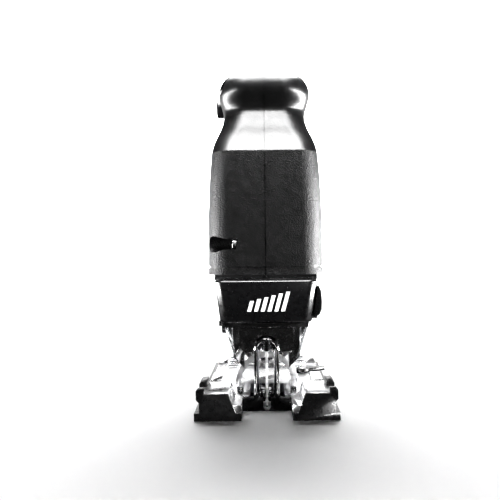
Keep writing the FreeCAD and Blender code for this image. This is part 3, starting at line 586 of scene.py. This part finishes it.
class Assembly:
    """A sub-assembly: makes its pieces, dresses them and reports them."""

    def __init__(self, paints: Paints) -> None:
        """Keep the materials at hand."""
        self.paints = paints

    def place(self, obj: bpy.types.Object, slot: str, body: str, *nodes: str,
              material: Optional[bpy.types.Material] = None) -> bpy.types.Object:
        """Dress a piece, tie it to its body and let it stand for CAD nodes."""
        obj.data.materials.clear()
        obj.data.materials.append(material or self.paints.by_slot[slot])
        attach(obj, body)
        if nodes:
            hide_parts(*nodes)
        LOG.info("%s: %d faces on %s", obj.name, len(obj.data.polygons), body)
        return obj

    def refine(self, node: str, width: float = 0.0003, degrees: float = 32.0,
               extra: Optional[Callable[[bpy.types.Object], None]] = None) -> bpy.types.Object:
        """Make a finished copy of a CAD node, with welded faces and eased edges.

        Args:
            node: The CAD node that the piece stands for.
            width: The edge radius in metres, 0 for none.
            degrees: The angle past which an edge is sharp.
            extra: A further change to the piece before its edges are eased.

        Returns:
            The finished piece.
        """
        source = frame["nodes"][node]
        bm = bmesh.new()
        bm.from_mesh(source.data)
        bmesh.ops.remove_doubles(bm, verts=bm.verts[:], dist=WELD)
        bmesh.ops.dissolve_degenerate(bm, edges=bm.edges[:], dist=SLIVER)
        bmesh.ops.dissolve_limit(bm, angle_limit=math.radians(FLAT_DEGREES), verts=bm.verts[:],
                                 edges=bm.edges[:], delimit={"NORMAL"})
        obj = as_object(node + "_finished", bm)
        if extra:
            extra(obj)
        if width:
            eased(obj, width)
            settled(obj)
        shade(obj, degrees)
        return self.place(obj, SLOT_OF[node], source["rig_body"], node)


# ---- housing ------------------------------------------------------------------------------------
def level_stations(rows: Sequence[tuple[float, ...]]) -> tuple[Station, ...]:
    """Read level sections from rows of height, half-width, front, rear and corner radius in mm."""
    return tuple(Station((front + rear) / 2 * MM, z * MM, half * MM, (rear - front) / 2 * MM, radius * MM)
                 for z, half, front, rear, radius in rows)


def upright_stations(rows: Sequence[tuple[float, ...]]) -> tuple[Station, ...]:
    """Read upright sections from rows of y, height, slope, half-width, half-height and radius in mm."""
    return tuple(Station(y * MM, z * MM, half * MM, high * MM, radius * MM, slope)
                 for y, z, slope, half, high, radius in rows)


@dataclass
class Housing:
    """The moulded shell: front post, pommel, motor barrel and bow, split at the middle."""

    paints: Paints
    wall: float = 2.5 * MM
    seam: float = 0.26 * MM
    seam_depth: float = 1.3 * MM
    rim: float = 79.0 * MM
    groove: Span = mm(82.7, 83.9)
    groove_depth: float = 0.9 * MM
    recess_radius: float = 4.65 * MM
    tube_radius: float = 6.25 * MM
    boss_radius: float = 4.6 * MM
    screws: tuple[tuple[float, float, float], ...] = (
        (-10.3, 96.5, 16.5), (4.0, 190.5, 12.0), (122.0, 186.0, 11.0),
        (172.0, 112.0, 16.0), (72.0, 82.2, 20.0), (140.0, 84.5, 18.0))
    boss_floor: float = 2.0
    skin_steps: int = 10
    skin_points: int = 96
    hollow_steps: int = 4
    hollow_points: int = 48
    tongue_steps: int = 8
    tongue_points: int = 72
    sharp: float = 30.0
    run_out: float = 2 * MM
    mouth_depth: float = 6 * MM
    aside: tuple[Span, Span, Span] = ((0.2, 0.21), (0, 0.01), (0, 0.01))
    reach: float = 40.0
    wide: float = 60.0
    clear_y: Span = (-0.05, 0.25)
    clear_z: Span = (0.04, 0.25)
    casting_x: Span = mm(-27.3, 27.3)
    casting_y: Span = mm(-5.5, 28.3)
    casting_top: float = 142.3 * MM
    trigger_slot: tuple[Span, Span, Span] = (mm(-8.1, 8.1), mm(35.4, 78.6), mm(160, 180))
    dial_slot: tuple[Span, Span, Span] = (mm(-3, 3), mm(84, 104), mm(190, 206))
    inlet_radius: float = 7.0 * MM
    inlet_y: Span = (0.18, 0.21)
    inlet_z: float = 0.115
    vents: int = 6
    vent_start: float = 104
    vent_pitch: float = 7
    vent_width: float = 3.2 * MM
    vent_z: Span = mm(98, 124)
    button_radius: float = 5.8 * MM
    button_place: Span = (0.02, 0.181)
    button_x: Span = (-0.04, -0.01)
    tongue_half: float = 0.6 * MM
    grip_y: Span = mm(44, 141)
    grip_steps: int = 26
    grip_sharp: float = 50.0
    grip_proud: float = 0.9 * MM
    grip_groove: float = 0.45 * MM
    grip_rings_per_rib: int = 6
    grip_skin: float = 0.8 * MM
    grip_trigger_slot: tuple[Span, Span, Span] = (mm(-8.5, 8.5), mm(30, 84), mm(160, 180))
    grip_dial_slot: tuple[Span, Span, Span] = (mm(-4.5, 4.5), mm(82, 106), mm(190, 215))
    post: tuple[Station, ...] = level_stations((
        (79, 33.6, -14.4, 34, 12), (84, 33.4, -14, 34, 12), (98, 33.3, -14, 34, 12),
        (112, 33.2, -14, 34, 12), (136, 32.2, -14, 32, 12), (150, 31.0, -14, 30, 12)))
    pommel: tuple[Station, ...] = level_stations((
        (150, 31.0, -14, 30, 12), (155, 30.0, -11.2, 30, 12.5), (160, 28.3, -8.8, 29, 13.5),
        (165.5, 26.0, -6.8, 28, 14.5), (171, 24.6, -4.6, 27, 15), (175.3, 24.8, -3.2, 27.6, 16),
        (178.7, 25.6, -4.0, 28, 17), (185.5, 27.3, -8, 29, 18), (191.5, 26.4, -8.3, 29, 18),
        (196.5, 22.8, -6, 28, 17), (200.5, 17.2, -1.6, 25, 13), (202.6, 11.5, 3, 21.5, 9),
        (203.45, 6.5, 8, 17, 4)))
    barrel: tuple[Station, ...] = upright_stations((
        (12, 111, 0, 33.0, 31.4, 24), (60, 110, 0, 32.6, 32.0, 26), (120, 110, 0, 31.4, 31.2, 26),
        (165, 112, 0, 28.6, 28.4, 24), (188, 114, 0, 23.0, 23.0, 19), (196, 115, 0, 17.0, 17.0, 14)))
    bow: tuple[Station, ...] = upright_stations((
        (10, 186, 0, 21, 14.5, 12), (45, 186.5, 0, 19, 14.2, 12.5), (85, 187, -3, 18.6, 14.5, 12.5),
        (120, 182, -16, 19, 15.5, 13), (146, 168, -40, 20, 17, 14), (163, 144, -68, 21.5, 18, 15),
        (168, 112, -86, 22, 19, 15)))

    def forms(self, inset: float, steps: int, segments: int) -> list[bmesh.types.BMesh]:
        """Return the overlapping forms: the front column, the barrel and the bow.

        Args:
            inset: How far they are moved in; above 0 the column also runs out through the rim.
            steps: Rings between stations.
            segments: Points in each ring.

        Returns:
            The three closed meshes.
        """
        foot = replace(self.post[0], z=self.rim - (self.run_out if inset else 0.0))
        column = between((foot, *self.post[1:]), steps)[:-1] + between(self.pommel, steps)

        def inward(_index: int) -> float:
            """Return the same inset for every ring."""
            return -inset

        return [loft(column, Lie.LEVEL, 1, segments, inward),
                loft(self.barrel, Lie.UPRIGHT, steps, segments, inward),
                loft(self.bow, Lie.UPRIGHT, steps, segments, inward)]

    def joined(self, inset: float, steps: int, segments: int) -> bpy.types.Object:
        """Join the forms into one closed skin."""
        column, *others = self.forms(inset, steps, segments)
        return carve(as_object("housing_form", column), others, Carving.JOIN)

    def hollow(self) -> list[bmesh.types.BMesh]:
        """Return the forms of the space between the walls."""
        return self.forms(self.wall, self.hollow_steps, self.hollow_points)

    def slab(self, start: float, end: float) -> bmesh.types.BMesh:
        """Return a slab past the whole housing, between two places on X."""
        low, high = sorted((start, end))
        return box_mesh((low, high), self.clear_y, self.clear_z)

    def groove_tool(self) -> bmesh.types.BMesh:
        """Return a closed band that cuts the shadow groove above the rim."""
        near = self.post[1]
        ends = [replace(near, z=self.groove[0] - MM), replace(near, z=self.groove[1] + MM)]
        band = as_object("groove_band", box_mesh(mm(-40, 40), mm(-20, 12), self.groove))
        carve(band, [loft(ends, Lie.LEVEL, 1, self.skin_points, lambda _index: -self.groove_depth)])
        bm = mesh_of(band)
        bpy.data.objects.remove(band)
        return bm

    def openings(self) -> list[bmesh.types.BMesh]:
        """Return the cutters for the mouth, groove, casting, trigger, dial, inlet and vents."""
        mouth = [replace(self.post[0], z=self.rim - self.mouth_depth), replace(self.post[0], z=self.groove[0])]
        tools = [loft(mouth, Lie.LEVEL, 1, self.skin_points, lambda _index: -self.wall),
                 self.groove_tool(),
                 box_mesh(self.casting_x, self.casting_y, (self.rim, self.casting_top)),
                 box_mesh(*self.trigger_slot),
                 box_mesh(*self.dial_slot),
                 rod_mesh(self.inlet_radius, *[Vector((0, y, self.inlet_z)) for y in self.inlet_y])]
        for side in Side:
            x = sorted((side.value * 20 * MM, side.value * self.reach * MM))
            for index in range(self.vents):
                low = (self.vent_start + self.vent_pitch * index) * MM
                tools.append(box_mesh((x[0], x[1]), (low, low + self.vent_width), self.vent_z))
        return tools

    def bosses(self, side: Side) -> list[bmesh.types.BMesh]:
        """Return the screw bosses of one half, with tubes around the recesses on the right."""
        rods = []
        for y, z, depth in self.screws:
            middle = Vector((side.value * self.seam, y * MM, z * MM))
            far = Vector((side.value * self.reach * MM, y * MM, z * MM))
            rods.append(rod_mesh(self.boss_radius, middle, far))
            if side is Side.RIGHT:
                floor = Vector((-(depth - self.boss_floor) * MM, y * MM, z * MM))
                rods.append(rod_mesh(self.tube_radius, floor, far))
        return rods

    def recesses(self) -> list[bmesh.types.BMesh]:
        """Return the cutters of the right half's screw recesses and lock button."""
        tools = [rod_mesh(self.button_radius, *[Vector((x, *self.button_place)) for x in self.button_x])]
        for y, z, depth in self.screws:
            tools.append(rod_mesh(self.recess_radius, Vector((-self.wide * MM, y * MM, z * MM)),
                                  Vector((-depth * MM, y * MM, z * MM))))
        return tools

    def half(self, whole: bpy.types.Object, side: Side, node: str) -> bpy.types.Object:
        """Cut one half out of the skin, hollow it and add its bosses."""
        obj = copied(whole, node + "_finished")
        carve(obj, self.hollow())
        skin = copied(whole, "boss_form")
        lumps = carve(as_object("bosses", box_mesh(*self.aside)), self.bosses(side),
                      Carving.JOIN)
        carve(lumps, [mesh_of(skin)], Carving.KEEP_SHARED)
        carve(obj, [mesh_of(lumps)], Carving.JOIN)
        for scrap in (skin, lumps):
            bpy.data.objects.remove(scrap)
        carve(obj, [self.slab(-side.value * self.wide * MM, side.value * self.seam)])
        carve(obj, self.openings() + (self.recesses() if side is Side.RIGHT else []))
        return shade(obj, self.sharp)

    def tongue(self) -> bpy.types.Object:
        """Make the tongue that closes the seam from inside, a little under the skin."""
        obj = self.joined(self.seam_depth, self.tongue_steps, self.tongue_points)
        carve(obj, self.hollow())
        for side in Side:
            carve(obj, [self.slab(side.value * self.wide * MM, side.value * self.tongue_half)])
        carve(obj, self.openings())
        obj.name = "housing_tongue"
        return shade(obj, self.sharp)

    def build(self) -> None:
        """Make both halves, the tongue in their seam and the grip."""
        workshop = Assembly(self.paints)
        whole = self.joined(0.0, self.skin_steps, self.skin_points)
        for side, node in ((Side.LEFT, "housing_left"), (Side.RIGHT, "housing_right")):
            workshop.place(self.half(whole, side, node), "housing", Body.HOUSING.value, node)
        bpy.data.objects.remove(whole)
        workshop.place(self.tongue(), "housing", Body.HOUSING.value)
        self.grip(workshop)

    def grip(self, workshop: Assembly) -> None:
        """Make the ribbed overmould on the bow."""
        along = between(self.bow, self.grip_steps)
        kept = [index for index, station in enumerate(along)
                if self.grip_y[0] <= station.y <= self.grip_y[1]]
        first, last = kept[0], kept[-1]

        def outset(index: int) -> float:
            """Return how far out a ring stands, with a groove between ribs and at both ends."""
            grooved = index % self.grip_rings_per_rib == 0 or index in (0, last - first)
            return self.grip_groove if grooved else self.grip_proud

        bm = loft(along[first:last + 1], Lie.UPRIGHT, 1, self.tongue_points, outset, capped=False)
        obj = as_object("handle_grip_finished", bm)
        solid = obj.modifiers.new("skin", "SOLIDIFY")
        solid.thickness = self.grip_skin
        solid.offset = -1.0
        settled(obj)
        y, z, _depth = self.screws[2]
        recess = [Vector((x, y * MM, z * MM)) for x in (-self.reach * MM, 0.0)]
        carve(obj, [box_mesh(*self.grip_trigger_slot), box_mesh(*self.grip_dial_slot),
                    rod_mesh(self.recess_radius, *recess)])
        workshop.place(shade(obj, self.grip_sharp), "soft_grip", Body.HOUSING.value, "handle_grip")


# ---- front --------------------------------------------------------------------------------------
@dataclass
class FrontCover:
    """The glossy front cover over the gear head, its print and the lip under it."""

    paints: Paints
    mark_centre: tuple[float, float] = (1.5 * MM, 64.0 * MM)
    mark_bars: int = 6
    bar_width: float = 2.2 * MM
    bar_pitch: float = 3.8 * MM
    bar_height: float = 11.0 * MM
    bar_least: float = 0.55
    bar_slant: float = 0.28
    print_thickness: float = 0.06 * MM

    def mark(self, workshop: Assembly) -> None:
        """Print a plain row of slanted bars on the cover."""
        low, _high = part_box("front_cover")
        bm = bmesh.new()
        for index in range(self.mark_bars):
            centre_x = self.mark_centre[0] + (index - (self.mark_bars - 1) / 2) * self.bar_pitch
            growth = (1.0 - self.bar_least) * index / (self.mark_bars - 1)
            height = self.bar_height * (self.bar_least + growth)
            centre_z = self.mark_centre[1] - (self.bar_height - height) / 2
            place = Matrix.Translation((centre_x, low.y, centre_z))
            size = Matrix.Diagonal((self.bar_width, self.print_thickness, height, 1))
            made = bmesh.ops.create_cube(bm, size=1.0, matrix=place @ size)["verts"]
            for vert in made:
                vert.co.x += (vert.co.z - self.mark_centre[1]) * self.bar_slant
        obj = as_object("cover_mark", bm)
        workshop.place(obj, "cover_plastic", Body.HOUSING.value, material=self.paints.print)

    def build(self) -> None:
        """Make the cover, its lip, its print and the housing's screws."""
        workshop = Assembly(self.paints)
        workshop.refine("front_cover", 0.5 * MM)
        workshop.refine("cover_lip", 0.35 * MM)
        workshop.refine("housing_screws", 0.2 * MM)
        self.mark(workshop)


@dataclass
class GearHead:
    """The casting, the black nose, the release lever and the clear windows."""

    paints: Paints

    def build(self) -> None:
        """Make the head's pieces."""
        workshop = Assembly(self.paints)
        workshop.refine("gear_housing", 0.4 * MM)
        workshop.refine("nose_guard", 0.6 * MM)
        workshop.refine("release_lever", 0.45 * MM)
        workshop.refine("lever_pin", 0.1 * MM)
        for node in ("shield_left", "shield_right"):
            workshop.refine(node, 0.3 * MM)
        for node in ("orbit_selector", "dust_port", "cord_inlet"):
            workshop.refine(node, 0.4 * MM)


@dataclass
class SawDrive:
    """Blade, clamp, plunger and guide roller."""

    paints: Paints

    def build(self) -> None:
        """Make the moving pieces that show."""
        workshop = Assembly(self.paints)
        workshop.refine("blade", 0.08 * MM)
        for node in ("blade_clamp", "clamp_sleeve", "orbit_fork", "guide_roller", "roller_pin", "plunger"):
            workshop.refine(node, 0.2 * MM)


@dataclass
class Controls:
    """Trigger, lock button and speed dial."""

    paints: Paints

    def build(self) -> None:
        """Make the controls."""
        workshop = Assembly(self.paints)
        workshop.refine("trigger", 0.5 * MM)
        workshop.refine("lock_button", 1.6 * MM)
        workshop.refine("speed_dial", 0.15 * MM)


@dataclass
class TiltBase:
    """The base: plate, sliding shoe, crossbar, tilt segment, wire guard and bevel lever."""

    paints: Paints

    def build(self) -> None:
        """Make the base's pieces."""
        workshop = Assembly(self.paints)
        workshop.refine("base_plate", 0.35 * MM)
        workshop.refine("slide_shoe", 0.4 * MM)
        for node in ("splinter_bar", "tilt_segment", "bevel_lever", "bevel_lever_pin"):
            workshop.refine(node, 0.25 * MM)
        workshop.refine("wire_guard", 0.0)


# ---- studio -------------------------------------------------------------------------------------
@dataclass(frozen=True)
class SoftBox:
    """A rectangular studio light."""

    name: str
    place: tuple[float, float, float]
    aim: tuple[float, float, float]
    size: tuple[float, float]
    power: float
    spread: float = 180.0

    def build(self) -> bpy.types.Object:
        """Make the light and point it."""
        light = bpy.data.lights.new(self.name, "AREA")
        light.shape = "RECTANGLE"
        light.size, light.size_y = self.size
        light.energy = self.power
        light.spread = math.radians(self.spread)
        obj = bpy.data.objects.new(self.name, light)
        bpy.context.scene.collection.objects.link(obj)
        obj.location = self.place
        obj.rotation_euler = (Vector(self.aim) - Vector(self.place)).to_track_quat("-Z", "Y").to_euler()
        obj.visible_camera = False
        return obj


@dataclass
class Studio:
    """Pale paper sweep, soft lights and the camera."""

    paints: Paints
    lens: float = 43.2
    camera_place: tuple[float, float, float] = (0.0, -0.3545, 0.093)
    shift_x: float = -0.031
    roll: float = 0.6
    dim: float = 0.008
    pale: float = 1.0
    wash_power: float = 45.0
    wash_place: tuple[float, float, float] = (0, 0.9, 1.0)
    wash_aim: tuple[float, float, float] = (0, 2.0, 0)
    wash_size: tuple[float, float] = (1.6, 0.4)
    wash_spread: float = 100.0
    sensor: float = 36.0
    near_clip: float = 0.01
    floor_front: float = -1.6
    floor_back: float = 1.0
    floor_bend: float = 0.6
    bend_steps: int = 16
    wall_height: float = 2.6
    floor_half: float = 2.6
    tool_lights: tuple[SoftBox, ...] = (
        SoftBox("overhead", (0.0, -0.015, 0.29), (0.0, -0.015, 0.10), (0.15, 0.24), 2.2),
        SoftBox("left_panel", (-0.55, -0.08, 0.045), (0.0, -0.08, 0.045), (0.75, 0.09), 8.0),
        SoftBox("right_panel", (0.55, -0.10, 0.045), (0.0, -0.10, 0.045), (0.85, 0.10), 15.0),
        SoftBox("back_panel", (0.0, 0.9, 0.24), (0.0, 0.0, 0.1), (2.0, 0.4), 4.5),
        SoftBox("glint", (0.16, -0.7, 0.30), (0.0, 0.0, 0.05), (0.08, 0.08), 0.12),
    )
    room_lights: tuple[SoftBox, ...] = (
        SoftBox("back_top", (0.0, 0.33, 0.62), (0.0, 0.0, 0.0), (0.3, 0.16), 2.1),
        SoftBox("wall_wash", (0.0, 0.9, 1.5), (0.0, 1.6, 0.6), (3.4, 0.8), 60.0),
    )

    def washes(self) -> list[SoftBox]:
        """Return the lights that whiten the paper all round, away from the tool."""
        turns = [Matrix.Rotation(index * math.pi / 2, 3, "Z") for index in range(4)]
        return [SoftBox(f"wash_{index}", tuple(turn @ Vector(self.wash_place)),
                        tuple(turn @ Vector(self.wash_aim)), self.wash_size, self.wash_power,
                        self.wash_spread)
                for index, turn in enumerate(turns)]

    def sweep(self) -> bpy.types.Object:
        """Make the floor and the wall behind as one curved sheet."""
        bm = bmesh.new()
        half = self.floor_half
        points = [Vector((-half, y, 0)) for y in (self.floor_front, self.floor_back)]
        verts = [bm.verts.new(point) for point in points]
        bm.edges.new(verts)
        bmesh.ops.spin(bm, geom=[verts[1]], cent=(-half, self.floor_back, self.floor_bend), axis=(1, 0, 0),
                       angle=math.pi / 2, steps=self.bend_steps, use_merge=False)
        top = max(bm.verts, key=lambda vert: (vert.co.y, vert.co.z))
        rise = bmesh.ops.extrude_vert_indiv(bm, verts=[top])["verts"][0]
        rise.co.z = self.wall_height
        wide = bmesh.ops.extrude_edge_only(bm, edges=bm.edges[:])["geom"]
        bmesh.ops.translate(bm, verts=[g for g in wide if isinstance(g, bmesh.types.BMVert)],
                            vec=(2 * half, 0, 0))
        bmesh.ops.recalc_face_normals(bm, faces=bm.faces[:])
        obj = as_object("paper_sweep", bm)
        obj.data.shade_smooth()
        obj.data.materials.append(self.paints.floor)
        obj.visible_glossy = False
        return obj

    def camera(self) -> None:
        """Make the camera."""
        data = bpy.data.cameras.new("camera")
        data.lens = self.lens
        data.sensor_width = self.sensor
        data.shift_x = self.shift_x
        data.clip_start = self.near_clip
        obj = bpy.data.objects.new("camera", data)
        bpy.context.scene.collection.objects.link(obj)
        obj.location = self.camera_place
        obj.rotation_euler = (math.pi / 2, math.radians(self.roll), 0.0)
        bpy.context.scene.camera = obj

    def build(self) -> None:
        """Set up the studio."""
        floor = bpy.data.collections.new("floor_only")
        floor.objects.link(self.sweep())
        tool = bpy.data.collections.new("tool_only")
        tool.objects.link(floor.objects[0])
        tool.collection_objects[0].light_linking.link_state = "EXCLUDE"
        for lights, receivers in ((self.tool_lights, tool), (self.room_lights + tuple(self.washes()), floor)):
            for light in lights:
                light.build().light_linking.receiver_collection = receivers
        self.room()
        bpy.context.scene.view_settings.view_transform = "Standard"
        bpy.context.scene.view_settings.look = "High Contrast"
        self.camera()

    def room(self) -> None:
        """Make the room: pale behind the scene, dim in reflections."""
        world = bpy.data.worlds.new("room")
        bpy.context.scene.world = world
        world.use_nodes = True
        tree = world.node_tree
        backdrop = tree.nodes["Background"]
        backdrop.inputs["Color"].default_value = (1, 1, 1, 1)
        path = tree.nodes.new("ShaderNodeLightPath")
        level = tree.nodes.new("ShaderNodeMapRange")
        level.inputs["To Min"].default_value = self.dim
        level.inputs["To Max"].default_value = self.pale
        tree.links.new(path.outputs["Is Camera Ray"], level.inputs["Value"])
        tree.links.new(level.outputs["Result"], backdrop.inputs["Strength"])


def main() -> None:
    """Build the tool and its studio in order."""
    logging.basicConfig(level=logging.INFO, format="%(name)s %(message)s")
    paints = Paints()
    paints.dress_frame()
    for part in (Housing(paints), FrontCover(paints), GearHead(paints), SawDrive(paints),
                 Controls(paints), TiltBase(paints), Studio(paints)):
        part.build()


if __name__ == "__main__":
    main()
